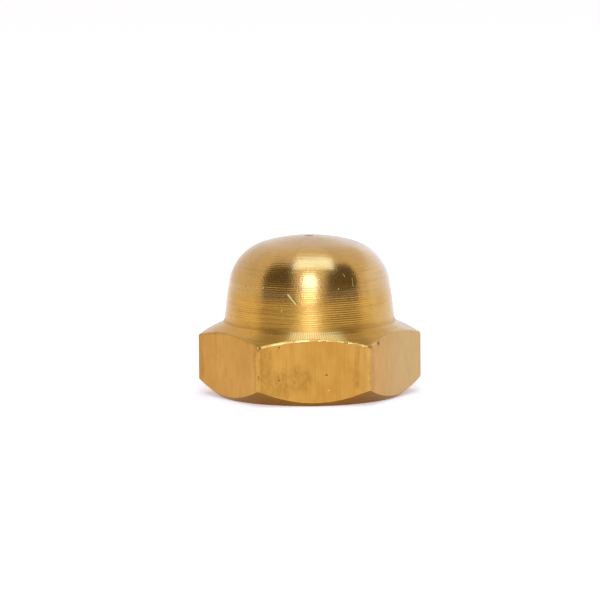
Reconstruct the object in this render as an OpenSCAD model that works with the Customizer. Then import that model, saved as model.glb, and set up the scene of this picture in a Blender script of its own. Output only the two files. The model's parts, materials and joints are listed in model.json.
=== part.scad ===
// Low cap nut, turned as one piece from drawn hexagon brass bar.
// The bar keeps its six flats at the base. Above them it is turned to a sloping shoulder and a dome.
// From below it is drilled blind and countersunk for a metric thread.
// The origin is the centre of the bearing face. +Z points to the crown, and two flats face -Y and +Y.

/* [Hexagon bar] */
// Width across the flats
across_flats = 17; // [15:0.5:24]
// Amount that the bar's six upright corners are blunted by, measured towards the axis
corner_blunt = 0.06; // [0.02:0.02:0.4]

/* [Bearing face] */
// Step from a flat in to the edge of the bearing face
base_step = 0.4; // [0.1:0.05:1.2]
// Slope of the base chamfer, up from the bearing face
base_slope = 39; // [15:1:50]

/* [Shoulder] */
// Height at which the shoulder meets the dome
shoulder_h = 6.35; // [5:0.05:8]
// Slope of the shoulder, down and out from the dome
shoulder_slope = 26; // [10:1:40]
// Fillet where the dome rises from the shoulder
foot_fillet = 0.7; // [0.2:0.05:1.2]

/* [Dome] */
// Overall height, from the bearing face to the crown
height = 13.9; // [12:0.05:20]
// Step from a flat in to the foot of the dome
dome_step = 1; // [0.5:0.05:2]
// Lean of the dome's side, in from upright
dome_draft = 6.8; // [2:0.1:12]
// Radius of the arc that turns the dome's side over to its crown
turn_r = 4.25; // [2:0.05:5]
// Radius of the crown
crown_r = 14.8; // [10:0.1:30]

/* [Centre pip] */
// Width of the dimple that the turning tool leaves at the middle of the crown
pip_d = 0.9; // [0.4:0.1:2]
// Depth of that dimple
pip_depth = 0.07; // [0.02:0.01:0.2]

/* [Tapped hole] */
// Outer diameter of the thread
thread_d = 10; // [8:0.5:11]
// Pitch of the thread
thread_pitch = 1.5; // [0.75:0.25:2]
// Step from the thread's outer diameter out to the rim of the countersink
mouth_step = 0.3; // [0.1:0.05:0.8]
// Full angle of the countersink
mouth_angle = 90; // [60:5:120]
// Full angle of the drill's point
drill_angle = 118; // [90:2:140]
// Metal left between the drill's point and the crown
crown_wall = 2; // [1:0.1:4]

/* [Hidden] */
$fn = 128;

// How far cutting shapes run past the metal
clear = 1;
// How far an arc stands past its tangent lines, so that it crosses them instead of only touching
blend = 0.002;

// Radii of the bar, from the axis
flats = 6;
flat_r = across_flats / 2;
sharp_r = flat_r / cos(180 / flats);
blunt_r = sharp_r - corner_blunt;
rim_r = sharp_r + clear;

// Where the two chamfer cones would meet the rim, outside the bar
base_r = flat_r - base_step;
rim_low = (rim_r - base_r) * tan(base_slope);
foot = [flat_r - dome_step, shoulder_h];
rim_high = shoulder_h - (rim_r - foot.x) * tan(shoulder_slope);

// The dome's side climbs along wall_up, and wall_in points from it towards the axis
wall_up = [-sin(dome_draft), cos(dome_draft)];
wall_in = [-cos(dome_draft), -sin(dome_draft)];
crown_centre = [0, height - crown_r];

// The turning arc touches the side and the crown, so its centre lies turn_r inside both
turn_track = foot + turn_r * wall_in;
track_start = turn_track - crown_centre;
track_half = track_start * wall_up;
track_rest = track_start * track_start - pow(crown_r - turn_r, 2);
turn_centre = turn_track + (sqrt(track_half * track_half - track_rest) - track_half) * wall_up;
side_top = turn_centre - turn_r * wall_in;
crown_ray = (turn_centre - crown_centre) / norm(turn_centre - crown_centre);

// The fillet's centre lies on the line that halves the angle between the shoulder and the dome's side
fillet_open = (90 + dome_draft + shoulder_slope) / 2;
fillet_ray = [cos(fillet_open - shoulder_slope), sin(fillet_open - shoulder_slope)];
fillet_centre = foot + foot_fillet / sin(fillet_open) * fillet_ray;
fillet_reach = foot_fillet / tan(fillet_open);

// Sphere that leaves a dimple of the pip's width and depth
pip_r = (pow(pip_d / 2, 2) + pow(pip_depth, 2)) / (2 * pip_depth);

// The tapping drill takes one pitch off the thread's outer diameter
drill_r = (thread_d - thread_pitch) / 2;
point_h = drill_r / tan(drill_angle / 2);
drill_depth = height - crown_wall - point_h;
mouth_r = thread_d / 2 + mouth_step;
mouth_depth = (mouth_r - drill_r) / tan(mouth_angle / 2);
mouth_spread = clear * tan(mouth_angle / 2);

// Section of the drawn bar: six flats with blunted corners
module bar_section() {
    intersection() {
        circle(sharp_r, $fn = flats);
        circle(blunt_r);
    }
}

// Half outline of the hexagon's height: bearing face, base chamfer and shoulder
module base_outline() {
    polygon([[0, 0], [base_r, 0], [rim_r, rim_low], [rim_r, rim_high], foot, [0, shoulder_h]]);
}

// Half outline of the dome: leaning side, turning arc and crown arc
module dome_outline() {
    polygon([[0, shoulder_h], foot, side_top, turn_centre, [0, turn_centre.y]]);
    intersection() {
        translate(turn_centre)
            circle(turn_r + blend);
        square([foot.x, height]);
    }
    intersection() {
        translate(crown_centre)
            circle(crown_r);
        polygon([
            [0, turn_centre.y],
            turn_centre,
            turn_centre + 2 * turn_r * crown_ray,
            [0, height + turn_r]
        ]);
    }
}

// Metal that fills the corner between the shoulder and the dome's side
module fillet_outline() {
    difference() {
        polygon([
            foot - foot_fillet * fillet_ray,
            foot + fillet_reach * [cos(shoulder_slope), -sin(shoulder_slope)],
            fillet_centre,
            foot + fillet_reach * wall_up
        ]);
        translate(fillet_centre)
            circle(foot_fillet + blend);
    }
}

// Everything that the lathe leaves outside the hole, before the flats bound it
module turned_form() {
    rotate_extrude() {
        base_outline();
        dome_outline();
        fillet_outline();
    }
}

// Countersunk blind hole at the tapping drill's size, cut from below
module tapped_hole() {
    rotate_extrude()
        polygon([
            [0, -clear],
            [mouth_r + mouth_spread, -clear],
            [drill_r, mouth_depth],
            [drill_r, drill_depth],
            [0, drill_depth + point_h]
        ]);
}

// Dimple at the middle of the crown
module centre_pip() {
    translate([0, 0, height - pip_depth + pip_r])
        sphere(pip_r);
}

// The whole nut: bar and turned form in common, less the hole and the pip
module cap_nut() {
    color("goldenrod")
        difference() {
            intersection() {
                linear_extrude(height)
                    bar_section();
                turned_form();
            }
            tapped_hole();
            centre_pip();
        }
}

cap_nut();
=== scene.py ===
"""Dresses the brass cap nut: a turned dome on a hexagon base, over a blind tapped hole.

The nut is one piece of metal, so it is one closed mesh. A Geometry Nodes tree walks a tool round half of
the nut's section, as a lathe does, and six flats bound what it turns. Four finishes cover it: turned brass
on the dome, faced brass on the shoulder, the base chamfer and the bearing face, drawn brass on the flats,
and tapped brass in the hole.
"""

import json
import logging
import math
from dataclasses import dataclass, fields
from enum import Enum
from typing import ClassVar, Iterable, Sequence, Union

import bpy
from mathutils import Matrix, Vector


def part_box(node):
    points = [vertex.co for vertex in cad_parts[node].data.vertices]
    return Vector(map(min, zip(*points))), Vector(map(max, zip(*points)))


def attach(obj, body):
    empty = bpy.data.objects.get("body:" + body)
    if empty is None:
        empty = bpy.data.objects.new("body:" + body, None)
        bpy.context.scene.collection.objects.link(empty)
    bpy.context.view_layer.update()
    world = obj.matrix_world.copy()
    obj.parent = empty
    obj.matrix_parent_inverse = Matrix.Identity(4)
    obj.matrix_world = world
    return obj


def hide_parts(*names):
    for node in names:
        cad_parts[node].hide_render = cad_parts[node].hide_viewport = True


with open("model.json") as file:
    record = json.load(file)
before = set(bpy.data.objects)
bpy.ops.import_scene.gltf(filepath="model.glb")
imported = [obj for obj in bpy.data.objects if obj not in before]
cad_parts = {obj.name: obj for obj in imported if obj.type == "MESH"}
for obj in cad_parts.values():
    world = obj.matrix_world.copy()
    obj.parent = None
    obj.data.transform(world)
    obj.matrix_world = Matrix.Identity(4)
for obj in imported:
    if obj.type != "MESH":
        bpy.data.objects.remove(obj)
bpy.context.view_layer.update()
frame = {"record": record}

LOG = logging.getLogger("cap_nut")
MM = 0.001
NODE = "cap_nut"
BODY = "root"
PIECE = "nut_of_brass"

Colour = tuple[float, float, float]
Range = tuple[float, float]
Number = Union["Field", float]


class Finish(Enum):
    """How a surface of the nut was made, which decides its look."""

    TURNED = "turned_brass"
    FACED = "faced_brass"
    DRAWN = "drawn_brass"
    TAPPED = "tapped_brass"


class Path(Enum):
    """Values that the mesh carries: lengths along a tool's path, and where edges are worn and painted with a
    highlight.
    """

    LATHE = "lathe_path"
    DRAW = "draw_path"
    WEAR = "edge_wear"


class Smear(Enum):
    """Direction in which the tool's lines draw a reflection out, as a turn of the shader's tangent."""

    ROUND = 0.0
    UPRIGHT = 0.25


class MarkKind(Enum):
    """What a single mark on the metal is. A scratch is painted bright, as a glint, and a pit or a stain can
    be painted shade.
    """

    SCRATCH = "scratch"
    PIT = "pit"
    STAIN = "stain"


class Field:
    """A value that a node tree works out at every point. Arithmetic on it adds Math nodes."""

    def __init__(self, tree: bpy.types.NodeTree, socket: bpy.types.NodeSocket) -> None:
        """Keeps the tree and the socket that gives the value."""
        self.tree = tree
        self.socket = socket

    def math(self, operation: str, *others: Number) -> "Field":
        """Adds a Math node whose first input is this value."""
        return add_math(self.tree, operation, self, *others)

    def __add__(self, other: Number) -> "Field":
        """Sum."""
        return self.math("ADD", other)

    def __sub__(self, other: Number) -> "Field":
        """Difference."""
        return self.math("SUBTRACT", other)

    def __rsub__(self, other: float) -> "Field":
        """Difference, from a plain number."""
        return add_math(self.tree, "SUBTRACT", other, self)

    def __mul__(self, other: Number) -> "Field":
        """Product."""
        return self.math("MULTIPLY", other)

    def __truediv__(self, other: Number) -> "Field":
        """Quotient."""
        return self.math("DIVIDE", other)

    def __rtruediv__(self, other: float) -> "Field":
        """Quotient, from a plain number."""
        return add_math(self.tree, "DIVIDE", other, self)

    def __neg__(self) -> "Field":
        """The value with its sign turned."""
        return self * -1.0

    __radd__ = __add__
    __rmul__ = __mul__

    def sin(self) -> "Field":
        """Sine of an angle in radians."""
        return self.math("SINE")

    def cos(self) -> "Field":
        """Cosine of an angle in radians."""
        return self.math("COSINE")

    def tan(self) -> "Field":
        """Tangent of an angle in radians."""
        return self.math("TANGENT")

    def sqrt(self) -> "Field":
        """Square root."""
        return self.math("SQRT")

    def squared(self) -> "Field":
        """The value times itself."""
        return self * self

    def floor(self) -> "Field":
        """Whole part."""
        return self.math("FLOOR")

    def absolute(self) -> "Field":
        """The value without its sign."""
        return self.math("ABSOLUTE")

    def above(self, low: float) -> "Field":
        """1 where the value is above another, and 0 elsewhere."""
        return self.math("GREATER_THAN", float(low))

    def between(self, low: float, high: float) -> "Field":
        """1 where the value lies between two others, and 0 elsewhere."""
        return self.above(low) * self.math("LESS_THAN", float(high))

    def clamped(self, low: Number = 0.0, high: Number = 1.0) -> "Field":
        """The value, held between two limits."""
        return self.math("MAXIMUM", low).math("MINIMUM", high)

    def ramp(self, low: Number, high: Number) -> "Field":
        """Smooth step from 0 at the first value to 1 at the second."""
        part = ((self - low) / (high - low)).clamped()
        return part * part * (3.0 - 2.0 * part)


def plug(value: object, socket: bpy.types.NodeSocket) -> None:
    """Gives a socket its value.

    Args:
        value: A field, which is linked to the socket, or a plain value, which is set on it.
        socket: The socket.
    """
    if isinstance(value, Field):
        value.tree.links.new(value.socket, socket)
    else:
        socket.default_value = value


def output(node: bpy.types.Node, name: str | int = 0) -> Field:
    """One of a node's outputs, as a field."""
    return Field(node.id_data, node.outputs[name])


def add_math(tree: bpy.types.NodeTree, operation: str, *values: Number) -> Field:
    """Adds a Math node.

    Args:
        tree: The tree that gets the node.
        operation: Blender's name for the operation.
        values: Fields or numbers for the node's inputs, in order.

    Returns:
        The node's result.
    """
    node = tree.nodes.new("ShaderNodeMath")
    node.operation = operation
    for value, socket in zip(values, node.inputs):
        plug(value, socket)
    return output(node)


def add_vector_math(
    tree: bpy.types.NodeTree,
    operation: str,
    *values: object,
    scale: Number | None = None,
    result: str = "Vector",
) -> Field:
    """Adds a Vector Math node.

    Args:
        tree: The tree that gets the node.
        operation: Blender's name for the operation.
        values: Fields or vectors for the node's inputs, in order.
        scale: What the operation SCALE multiplies by.
        result: Name of the output that is wanted.

    Returns:
        The node's result.
    """
    node = tree.nodes.new("ShaderNodeVectorMath")
    node.operation = operation
    for value, socket in zip(values, node.inputs):
        plug(value, socket)
    if scale is not None:
        plug(scale, node.inputs["Scale"])
    return output(node, result)


def add_node(
    tree: bpy.types.NodeTree,
    kind: str,
    settings: dict[str, object] | None = None,
    **inputs: object,
) -> bpy.types.Node:
    """Adds a node of any kind.

    Args:
        tree: The tree that gets the node.
        kind: Blender's name for the node's type.
        settings: The node's own properties, set before its sockets are.
        inputs: Fields or values for sockets, by socket name with _ for a space.

    Returns:
        The new node.
    """
    node = tree.nodes.new(kind)
    for name, value in (settings or {}).items():
        setattr(node, name, value)
    for name, value in inputs.items():
        plug(value, node.inputs[name.replace("_", " ")])
    return node


def add_noise(tree: bpy.types.NodeTree, detail: float, **inputs: object) -> Field:
    """Adds a noise texture.

    Args:
        tree: The tree that gets the node.
        detail: How many finer layers of noise there are.
        inputs: Values for the node's sockets. A Vector gives the noise three dimensions and a W one.

    Returns:
        The noise, from 0 to 1.
    """
    settings = {"noise_dimensions": f"{3 * ('Vector' in inputs) + ('W' in inputs)}D"}
    return output(add_node(tree, "ShaderNodeTexNoise", settings, Detail=detail, **inputs), "Fac")


def add_object(name: str, data: bpy.types.ID) -> bpy.types.Object:
    """Makes an object at the origin and links it to the scene.

    Args:
        name: The object's name.
        data: Its mesh or camera.

    Returns:
        The object.
    """
    made = bpy.data.objects.new(name, data)
    bpy.context.scene.collection.objects.link(made)
    return made


def empty_tree(owner: bpy.types.Material | bpy.types.World) -> bpy.types.NodeTree:
    """Gives a material or a world a node tree with nothing in it.

    Args:
        owner: The material or the world.

    Returns:
        The tree.
    """
    owner.use_nodes = True
    owner.node_tree.nodes.clear()
    return owner.node_tree


def end_in_mix(
    tree: bpy.types.NodeTree,
    amount: Field,
    first: bpy.types.Node,
    second: bpy.types.Node,
) -> None:
    """Ends a material in a mix of two shaders.

    Args:
        tree: The material's tree.
        amount: 0 where the first shader shows and 1 where the second does.
        first: The first shader.
        second: The second shader.
    """
    mix = add_node(tree, "ShaderNodeMixShader", Fac=amount)
    tree.links.new(first.outputs[0], mix.inputs[1])
    tree.links.new(second.outputs[0], mix.inputs[2])
    out = tree.nodes.new("ShaderNodeOutputMaterial")
    tree.links.new(mix.outputs[0], out.inputs["Surface"])


def direction(azimuth: float, elevation: float) -> Vector:
    """Unit vector towards a place round the nut.

    Args:
        azimuth: Degrees from the front, -Y, towards +X.
        elevation: Degrees above the floor.

    Returns:
        The vector.
    """
    turn, rise = math.radians(azimuth), math.radians(elevation)
    return Vector((math.cos(rise) * math.sin(turn), -math.cos(rise) * math.cos(turn), math.sin(rise)))


class LatheWalk:
    """Path of a tool round half of a section, as fields of a grid's row number.

    Each move takes the next few rows. A row before a move stands at the move's start and a row after it at
    its end, so a row's radius and height are sums over all moves.
    """

    def __init__(self, row: Field, radius: Number, height: Number) -> None:
        """Starts the walk at a point of the section.

        Args:
            row: Row number, from 0.
            radius: Distance of the first point from the axis.
            height: Height of the first point.
        """
        self.row = row
        self.rows = 0
        self.at = (radius, height)
        self.radius: Number = radius
        self.height: Number = height
        self.length: Number = 0.0
        self.total: Number = 0.0

    def share(self, rows: int) -> Field:
        """Takes the next rows for a move.

        Args:
            rows: How many rows of faces the move makes.

        Returns:
            Part of the move that a row has behind it, from 0 to 1.
        """
        part = ((self.row - float(self.rows)) / float(rows)).clamped()
        self.rows += rows
        return part

    def count(self, part: Field, length: Field) -> None:
        """Adds a move to the length that a row has behind it and to the length of the whole walk."""
        self.length = self.length + part * length
        self.total = self.total + length

    def line_to(self, radius: Number, height: Number, rows: int, eased: bool = False) -> None:
        """Moves straight to a point.

        Args:
            radius: The point's distance from the axis.
            height: The point's height.
            rows: How many rows of faces the move makes.
            eased: Whether the rows crowd towards both ends, which keeps a flat face flat up to its edges.
        """
        part = self.share(rows)
        if eased:
            part = 0.5 - 0.5 * (part * math.pi).cos()
        out, up = radius - self.at[0], height - self.at[1]
        self.radius = self.radius + part * out
        self.height = self.height + part * up
        self.count(part, (out * out + up * up).sqrt())
        self.at = (radius, height)

    def arc(self, radius: Field, start: Field, sweep: Field, rows: int) -> None:
        """Moves along an arc.

        Args:
            radius: The arc's radius.
            start: Direction from the arc's centre to its first point, up from outward.
            sweep: Angle that the arc turns through, positive from outward to upward.
            rows: How many rows of faces the move makes.
        """
        part = self.share(rows)
        angle = start + part * sweep
        self.radius = self.radius + radius * (angle.cos() - start.cos())
        self.height = self.height + radius * (angle.sin() - start.sin())
        self.count(part, (radius * sweep).absolute())
        end = start + sweep
        self.at = (
            self.at[0] + radius * (end.cos() - start.cos()),
            self.at[1] + radius * (end.sin() - start.sin()),
        )


@dataclass(frozen=True)
class Dent:
    """A knock in the metal: degrees round from the front towards the right, height, width and depth."""

    azimuth: float
    height: float
    width: float
    depth: float


@dataclass
class CapNut:
    """The whole nut: sizes in metres and radians, the mesh and its finishes."""

    across_flats: float
    across_corners: float
    pip_rim: float
    drill_radius: float
    base_step: float = 0.4 * MM
    base_slope: float = math.radians(39.0)
    shoulder_height: float = 6.35 * MM
    shoulder_slope: float = math.radians(26.0)
    foot_fillet: float = 0.7 * MM
    dome_step: float = 1.0 * MM
    dome_draft: float = math.radians(6.8)
    turn_radius: float = 4.25 * MM
    crown_radius: float = 14.8 * MM
    pip_width: float = 0.9 * MM
    pip_depth: float = 0.07 * MM
    edge_break: float = 0.18 * MM
    thread_diameter: float = 10.0 * MM
    thread_pitch: float = 1.5 * MM
    thread_flank: float = math.radians(30.0)
    mouth_step: float = 0.3 * MM
    mouth_slope: float = math.radians(45.0)
    drill_slope: float = math.radians(59.0)
    crown_wall: float = 2.0 * MM
    FLATS: ClassVar[int] = 6
    SHARP_EDGE: ClassVar[float] = math.radians(18.0)
    DENTS: ClassVar[tuple[Dent, ...]] = (
        Dent(38.5, 5.37 * MM, 0.5 * MM, 0.1 * MM),
        Dent(-29.4, 5.19 * MM, 0.45 * MM, 0.08 * MM),
        Dent(30.6, 5.19 * MM, 0.4 * MM, 0.07 * MM),
        Dent(19.6, 5.6 * MM, 0.4 * MM, 0.06 * MM),
        Dent(142.0, 5.4 * MM, 0.6 * MM, 0.08 * MM),
        Dent(-151.0, 1.0 * MM, 0.6 * MM, 0.08 * MM),
        Dent(-97.0, 5.3 * MM, 0.5 * MM, 0.07 * MM),
    )

    @classmethod
    def from_frame(cls) -> "CapNut":
        """Takes the nut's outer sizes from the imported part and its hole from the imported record.

        Returns:
            The nut.
        """
        low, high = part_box(NODE)
        thread = next(m for m in frame["record"]["mounts"] if m["name"] == "thread")
        return cls(
            across_flats=high.y - low.y,
            across_corners=high.x - low.x,
            pip_rim=high.z,
            drill_radius=thread["dims"]["r_mm"] * MM,
        )

    def build(self, materials: dict[Finish, bpy.types.Material]) -> bpy.types.Object:
        """Makes the nut as one closed mesh.

        Args:
            materials: The material of each finish.

        Returns:
            The nut's object, at the origin.
        """
        tree = NutTree(self, materials)
        carrier = add_object("nut_carrier", bpy.data.meshes.new("nut_carrier"))
        modifier = carrier.modifiers.new("nut", "NODES")
        modifier.node_group = tree.tree
        for name, identifier in tree.identifiers.items():
            modifier[identifier] = getattr(self, name)
        graph = bpy.context.evaluated_depsgraph_get()
        mesh = bpy.data.meshes.new_from_object(carrier.evaluated_get(graph), depsgraph=graph)
        bpy.data.objects.remove(carrier)
        mesh.name = PIECE
        mesh.set_sharp_from_angle(angle=self.SHARP_EDGE)
        return add_object(PIECE, mesh)

    def dress(self, nut: bpy.types.Object) -> None:
        """Puts the nut in the place of its solid.

        Args:
            nut: The nut's object.
        """
        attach(nut, BODY)
        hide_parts(NODE)

    def spot(self, azimuth: float, height: float) -> Vector:
        """Point on the outside of the nut.

        Args:
            azimuth: Degrees from the front, -Y, towards +X.
            height: Height above the bearing face.

        Returns:
            The point.
        """
        away = direction(azimuth, 0.0)
        flat_r = self.across_flats / 2.0
        flat_turn = 360.0 / self.FLATS
        local = (azimuth + flat_turn / 2.0) % flat_turn - flat_turn / 2.0
        side = min(flat_r / math.cos(math.radians(local)), self.across_corners / 2.0)
        foot_r = flat_r - self.dome_step
        rise = height - self.shoulder_height
        slope_r = foot_r - rise / math.tan(self.shoulder_slope)
        turn_r, turn_z, turn_from = self.turn_centre()
        if rise <= 0.0:
            radius = min(side, slope_r)
        elif height <= turn_from:
            radius = foot_r - rise * math.tan(self.dome_draft)
        else:
            radius = turn_r + math.sqrt(self.turn_radius**2 - (height - turn_z) ** 2)
        return away * radius + Vector((0.0, 0.0, height))

    def turn_centre(self) -> tuple[float, float, float]:
        """Finds the arc that turns the dome's side into its crown.

        Returns:
            Radius and height of the arc's centre, and the height at which the arc starts.
        """
        lean, turn = self.dome_draft, self.turn_radius
        drop = math.sqrt(self.crown_radius**2 - (self.pip_width / 2.0) ** 2)
        crown_z = self.pip_rim - drop
        track_r = self.across_flats / 2.0 - self.dome_step - turn * math.cos(lean)
        track_z = self.shoulder_height - turn * math.sin(lean) - crown_z
        half = track_z * math.cos(lean) - track_r * math.sin(lean)
        rest = track_r**2 + track_z**2 - (self.crown_radius - turn) ** 2
        climb = math.sqrt(half**2 - rest) - half
        centre_z = crown_z + track_z + climb * math.cos(lean)
        return track_r - climb * math.sin(lean), centre_z, centre_z + turn * math.sin(lean)


class NutTree:
    """Geometry Nodes tree that makes the nut from its named sizes."""

    COLUMNS_PER_FLAT = 72
    # Rows of faces in each move of the outside's walk.
    OUTSIDE_ROWS = {
        "face": 4,
        "face_edge": 3,
        "chamfer": 4,
        "low_edge": 4,
        "flat": 14,
        "high_edge": 5,
        "shoulder": 10,
        "fillet": 8,
        "side": 10,
        "turn": 40,
        "crown": 22,
        "pip": 6,
    }
    # Rows of faces in the drill's point and in each side of the thread's groove.
    CONE_ROWS = 6
    CREST_ROWS = 2
    FLANK_ROWS = 3
    ROOT_ROWS = 1
    # Turns that reach past the hole's depth, the root's part of a pitch, and the run-out in pitches.
    THREAD_TURNS = 8
    ROOT_SHARE = 0.125
    RUNOUT_FROM = 1.0
    RUNOUT_TO = 3.0
    WELD = 1e-7
    SEED = 4.0
    # A wave round the nut, and noise on it, say where an edge is worn round. Elsewhere it is nicked.
    WEAR_TURN = math.radians(105.0)
    WEAR_WAVE = 0.45
    WEAR_SCALE = 2.1
    WEAR_RANGE: Range = (0.3, 0.7)
    NICK_SCALE = 24.0
    NICK_RANGE: Range = (0.42, 0.62)
    LEAST_BREAK = 0.45
    # How bright the lower edges and the corners are rubbed and painted with a highlight, beside the upper
    # edges.
    LOW_WEAR = 0.4
    CORNER_WEAR = 0.3

    def __init__(self, nut: CapNut, materials: dict[Finish, bpy.types.Material]) -> None:
        """Builds the tree.

        Args:
            nut: The nut, whose fields become the tree's inputs.
            materials: The material of each finish.
        """
        self.flats = nut.FLATS
        self.tree = bpy.data.node_groups.new("Cap nut", "GeometryNodeTree")
        self.identifiers: dict[str, str] = {}
        self.size: dict[str, Field] = {}
        self.tree.interface.new_socket("Geometry", in_out="OUTPUT", socket_type="NodeSocketGeometry")
        for size in fields(nut):
            name = size.name.replace("_", " ").capitalize()
            socket = self.tree.interface.new_socket(name, in_out="INPUT", socket_type="NodeSocketFloat")
            self.identifiers[size.name] = socket.identifier
        entry = self.tree.nodes.new("NodeGroupInput")
        for size, socket in zip(fields(nut), entry.outputs):
            self.size[size.name] = Field(self.tree, socket)
        outside, on_flat, on_dome = self.outside()
        hole, in_hole = self.hole()
        join = self.tree.nodes.new("GeometryNodeJoinGeometry")
        for part in (outside, hole):
            self.tree.links.new(part.socket, join.inputs[0])
        weld = add_node(self.tree, "GeometryNodeMergeByDistance", Geometry=output(join), Distance=self.WELD)
        dented = self.press(output(weld), nut)
        smooth = add_node(self.tree, "GeometryNodeSetShadeSmooth", Geometry=dented)
        shape = output(add_node(self.tree, "GeometryNodeRealizeInstances", Geometry=output(smooth)))
        covers = (
            (Finish.FACED, True),
            (Finish.DRAWN, on_flat),
            (Finish.TURNED, on_dome),
            (Finish.TAPPED, in_hole),
        )
        for finish, where in covers:
            cover = {"Geometry": shape, "Selection": where, "Material": materials[finish]}
            shape = output(add_node(self.tree, "GeometryNodeSetMaterial", **cover))
        exit_node = self.tree.nodes.new("NodeGroupOutput")
        self.tree.links.new(shape.socket, exit_node.inputs[0])

    def grid(self, rows: int, name: str) -> tuple[Field, Field, Field]:
        """Adds a flat grid that a walk then wraps round the axis.

        Args:
            rows: How many rows of faces the grid has.
            name: Label of the grid.

        Returns:
            The grid's mesh, and the column and row number of each point.
        """
        counts = {"Vertices_X": self.flats * self.COLUMNS_PER_FLAT + 1, "Vertices_Y": rows + 1}
        grid = add_node(self.tree, "GeometryNodeMeshGrid", {"label": name}, **counts)
        index = output(self.tree.nodes.new("GeometryNodeInputIndex"))
        column = ((index + 0.5) / float(rows + 1)).floor()
        row = index - column * float(rows + 1)
        capture = self.tree.nodes.new("GeometryNodeCaptureAttribute")
        self.tree.links.new(grid.outputs["Mesh"], capture.inputs["Geometry"])
        for item, value in (("Column", column), ("Row", row)):
            capture.capture_items.new("FLOAT", item)
            plug(value, capture.inputs[item])
        return output(capture, "Geometry"), output(capture, "Column"), output(capture, "Row")

    def turn(self, column: Field) -> tuple[Field, Field, Field]:
        """Angle of a column round the axis. The columns crowd towards the nut's corners.

        Args:
            column: Column number, from 0 at the corner left of the front flat.

        Returns:
            The angle from +X, the angle from the middle of the nearest flat, and the number of that flat.
        """
        flat = ((column + 0.5) / float(self.COLUMNS_PER_FLAT)).floor()
        across = (column - flat * float(self.COLUMNS_PER_FLAT)) * (2.0 / self.COLUMNS_PER_FLAT) - 1.0
        half = math.pi / self.flats
        local = half * (across * (math.pi / 2.0)).sin()
        return flat * (2.0 * half) + local - math.pi / 2.0, local, flat

    def reach(self, local: Field) -> Field:
        """Distance from the axis to the hexagon's side, with its corners rounded.

        Args:
            local: Angle from the middle of the nearest flat.

        Returns:
            The distance.
        """
        half = math.pi / self.flats
        flat_r = self.size["across_flats"] * 0.5
        blunt = flat_r / math.cos(half) - self.size["across_corners"] * 0.5
        round_r = blunt / (1.0 / math.cos(half) - 1.0)
        centre = (flat_r - round_r) / math.cos(half)
        corner = half - local.absolute()
        tangent = half - (centre * math.sin(half) / flat_r).math("ARCTANGENT")
        within = corner.math("LESS_THAN", tangent)
        rounded = centre * corner.cos() + (round_r.squared() - (centre * corner.sin()).squared()).sqrt()
        straight = flat_r / local.cos()
        return straight + within * (rounded - straight)

    def worn_edge(self, angle: Field) -> Field:
        """Radius of the nut's broken edges: worn smooth in places and nicked in others.

        Args:
            angle: Angle round the axis, from +X.

        Returns:
            The radius.
        """
        ring = output(add_node(self.tree, "ShaderNodeCombineXYZ", X=angle.cos(), Y=angle.sin(), Z=self.SEED))
        waves = 0.5 + self.WEAR_WAVE * (float(self.flats) * (angle + self.WEAR_TURN)).cos()
        drift = add_noise(self.tree, 1.0, Vector=ring, Scale=self.WEAR_SCALE) - 0.5
        worn = (waves + drift).ramp(*self.WEAR_RANGE)
        nicks = add_noise(self.tree, 1.0, Vector=ring, Scale=self.NICK_SCALE).ramp(*self.NICK_RANGE)
        return self.size["edge_break"] * (self.LEAST_BREAK + worn + (1.0 - worn) * nicks)

    def press(self, mesh: Field, nut: CapNut) -> Field:
        """Presses the nut's dents into the mesh.

        Args:
            mesh: The mesh.
            nut: The nut, which says where its dents lie.

        Returns:
            The dented mesh.
        """
        place = output(self.tree.nodes.new("GeometryNodeInputPosition"))
        normal = output(self.tree.nodes.new("GeometryNodeInputNormal"))
        push: Number = 0.0
        for dent in nut.DENTS:
            centre = nut.spot(dent.azimuth, dent.height)
            gap = add_vector_math(self.tree, "DISTANCE", place, centre, result="Value")
            push = push + (1.0 - gap.ramp(0.0, dent.width / 2.0)) * dent.depth
        inward = add_vector_math(self.tree, "SCALE", normal, scale=-push)
        return output(add_node(self.tree, "GeometryNodeSetPosition", Geometry=mesh, Offset=inward))

    def wrap(self, mesh: Field, angle: Field, walk: LatheWalk) -> Field:
        """Moves a grid's points to where a walk has them.

        Args:
            mesh: The grid.
            angle: Angle of each point round the axis.
            walk: The walk.

        Returns:
            The wrapped mesh.
        """
        axes = {"X": walk.radius * angle.cos(), "Y": walk.radius * angle.sin(), "Z": walk.height}
        place = output(add_node(self.tree, "ShaderNodeCombineXYZ", **axes))
        return output(add_node(self.tree, "GeometryNodeSetPosition", Geometry=mesh, Position=place))

    def keep(self, mesh: Field, path: Path, value: Field) -> Field:
        """Keeps a value on the mesh for its materials.

        Args:
            mesh: The mesh.
            path: Which value it is.
            value: The value at each point.

        Returns:
            The mesh with the value on it.
        """
        settings = {"data_type": "FLOAT", "domain": "POINT"}
        inputs = {"Geometry": mesh, "Name": path.value, "Value": value}
        return output(add_node(self.tree, "GeometryNodeStoreNamedAttribute", settings, **inputs))

    def outside(self) -> tuple[Field, Field, Field]:
        """Turns the outside, from the countersink's rim over the flats and the dome to the crown's pip.

        Returns:
            The mesh, which of its faces lie on a flat, and which lie on the dome.
        """
        size, rows = self.size, self.OUTSIDE_ROWS
        right = math.pi / 2.0
        mesh, column, row = self.grid(sum(rows.values()), "outside")
        angle, local, flat = self.turn(column)
        limit = self.reach(local)
        flat_r = size["across_flats"] * 0.5
        zero = 0.0 * flat_r
        edge = self.worn_edge(angle)

        base_r = flat_r - size["base_step"]
        base = size["base_slope"]
        base_cut = edge * (base * 0.5).tan()
        low_cut = edge * ((right - base) * 0.5).tan()
        low = (limit - base_r) * base.tan()

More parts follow.
